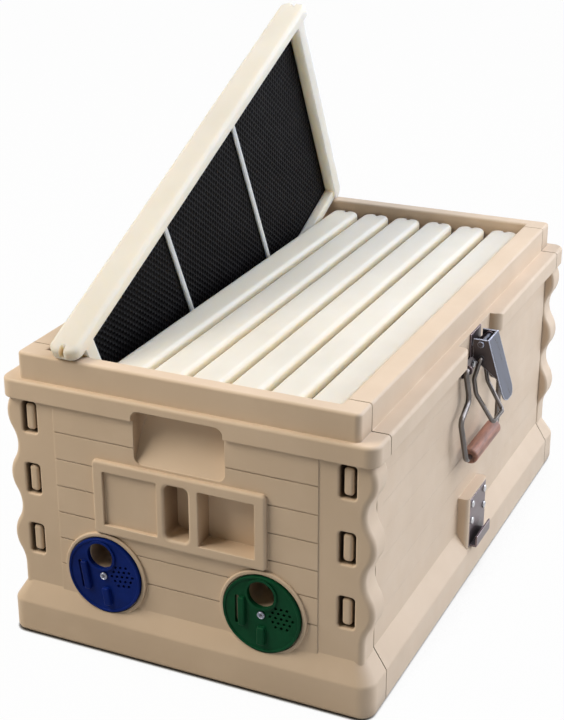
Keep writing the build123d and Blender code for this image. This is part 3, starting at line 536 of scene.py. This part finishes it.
def dress_fittings():
    """Materials of the discs, latches, handles and keepers."""
    sheet = rolled_steel("rolled_sheet", SHEET_STEEL, smoothest=0.24, roughest=0.40,
                         stretch=(1.0, 1.0, 0.12), edge=0.0015, flank_shade=0.8)
    wire = rolled_steel("bent_wire", WIRE_STEEL, smoothest=0.12, roughest=0.24,
                        stretch=(1.0, 1.0, 0.2))
    plate = rolled_steel("keeper_sheet", KEEPER_STEEL, smoothest=0.26, roughest=0.42,
                         stretch=(1.0, 0.12, 1.0))
    bright = rolled_steel("bright_rivet", RIVET_STEEL, smoothest=0.16, roughest=0.30,
                          stretch=(1.0, 1.0, 1.0))
    finishes = {
        "latch_lever": sheet,
        "lever_pin": sheet,
        "latch_bracket": plate,
        "keeper_plate": plate,
        "latch_loop": wire,
        "carry_bail": wire,
        "bracket_rivets": bright,
        "keeper_rivets": bright,
        "carry_grip": grip_material(),
    }
    for side in SIDES:
        for piece, material in finishes.items():
            wear(f"{side}_{piece}", material)
    wear("left_entrance_disc", disc_plastic("blue_disc", BLUE))
    wear("right_entrance_disc", disc_plastic("green_disc", GREEN))
    wear("disc_pivot_screws", sheet)


def dress_frames():
    """Material of the frames, which light shines into."""
    ivory = moulded_plastic("ivory_moulding", (IVORY, IVORY_WEAR_AND_HIGHLIGHT, IVORY_CORNER_SHADE), grain=1300.0, edge=0.0007,
                            corner=0.004, corner_shade_share=0.45, shade=0.35,
                            shade_and_light_tints=(IVORY_FRONT_LIGHT, IVORY_WARM_SHADE))
    glow_through(ivory)
    for number in FRAME_NUMBERS:
        wear(f"frame_{number}", ivory)


def make_camera():
    """The camera that took the photograph."""
    data = bpy.data.cameras.new("photo_camera")
    data.lens = CAMERA_LENS
    data.shift_x, data.shift_y = CAMERA_SHIFT
    data.clip_end = CAMERA_REACH
    camera = bpy.data.objects.new("photo_camera", data)
    bpy.context.scene.collection.objects.link(camera)
    turn = Matrix.Rotation(math.radians(CAMERA_YAW), 4, "Z")
    tilt = Matrix.Rotation(math.radians(90 - CAMERA_PITCH), 4, "X")
    roll = Matrix.Rotation(math.radians(CAMERA_ROLL), 4, "Z")
    camera.matrix_world = Matrix.Translation(CAMERA_PLACE) @ turn @ tilt @ roll
    bpy.context.scene.camera = camera


def make_lamps():
    """Square lamps that look at the body and are not seen themselves."""
    for name, place, side, power, color in LAMPS:
        data = bpy.data.lights.new(name, "AREA")
        data.shape = "SQUARE"
        data.size = side
        data.energy = power
        data.color = color
        lamp = bpy.data.objects.new(name, data)
        bpy.context.scene.collection.objects.link(lamp)
        lamp.location = place
        lamp.rotation_euler = (Vector(LAMP_AIM) - Vector(place)).to_track_quat("-Z", "Y").to_euler()
        lamp.visible_camera = False


def shown_ray(tree):
    """1 for rays that show the background itself: from the camera, mirrors and glass."""
    path = tree.nodes.new("ShaderNodeLightPath")
    total = path.outputs["Is Camera Ray"]
    for name in ("Is Glossy Ray", "Is Transmission Ray"):
        most = tree.nodes.new("ShaderNodeMath")
        most.operation = "MAXIMUM"
        tree.links.new(total, most.inputs[0])
        tree.links.new(path.outputs[name], most.inputs[1])
        total = most.outputs[0]
    return total


def blend_surface(tree, share, first, second, output):
    """Show the first shader, with a share of the second, at an output node."""
    blend = tree.nodes.new("ShaderNodeMixShader")
    tree.links.new(share, blend.inputs["Fac"])
    tree.links.new(first.outputs[0], blend.inputs[1])
    tree.links.new(second.outputs[0], blend.inputs[2])
    tree.links.new(blend.outputs[0], tree.nodes[output].inputs["Surface"])


def make_world():
    """White background that gives only a faint light."""
    world = bpy.data.worlds.new("studio")
    world.use_nodes = True
    tree = world.node_tree
    fill = tree.nodes["Background"]
    fill.inputs["Color"].default_value = (*FILL_COLOR, 1.0)
    fill.inputs["Strength"].default_value = FILL_STRENGTH
    backdrop = tree.nodes.new("ShaderNodeBackground")
    backdrop.inputs["Color"].default_value = (*BACKDROP_COLOR, 1.0)
    backdrop.inputs["Strength"].default_value = BACKDROP_STRENGTH
    blend_surface(tree, shown_ray(tree), fill, backdrop, "World Output")
    bpy.context.scene.world = world


def make_floor():
    """Floor that shows the background's white, apart from a thin contact shadow and inside the body."""
    mesh = bpy.data.meshes.new("floor")
    corners = [(-FLOOR_HALF, -FLOOR_HALF, 0), (FLOOR_HALF, -FLOOR_HALF, 0),
               (FLOOR_HALF, FLOOR_HALF, 0), (-FLOOR_HALF, FLOOR_HALF, 0)]
    mesh.from_pydata(corners, [], [(0, 1, 2, 3)])
    floor = bpy.data.objects.new("floor", mesh)
    floor.location.z = -FLOOR_DROP
    bpy.context.scene.collection.objects.link(floor)
    graph = Graph("pale_floor")
    contact = graph.spread(graph.crevice(CONTACT_REACH, SUN_SIDE), low=0.48, high=0.80, to_high=0.98)
    outside = graph.spread(graph.crevice(INSIDE_REACH), low=0.20, high=0.45)
    share = graph.math("MULTIPLY", contact, outside)
    graph.set(color=graph.mix(share, FLOOR_SHADOW, FLOOR_OPEN), roughness=FLOOR_ROUGHNESS)
    glow = graph.add("ShaderNodeEmission")
    graph.fill(glow.inputs["Color"], BACKDROP_COLOR)
    glow.inputs["Strength"].default_value = BACKDROP_STRENGTH
    shown = graph.math("MULTIPLY", shown_ray(graph.tree), share)
    blend_surface(graph.tree, shown, graph.shader, glow, "Material Output")
    mesh.materials.append(graph.material)


make_camera()
make_world()
make_floor()
make_lamps()
dress_panels()
dress_fittings()
dress_frames()
make_foundations(foundation_material())
bpy.context.scene.view_settings.view_transform = "Standard"
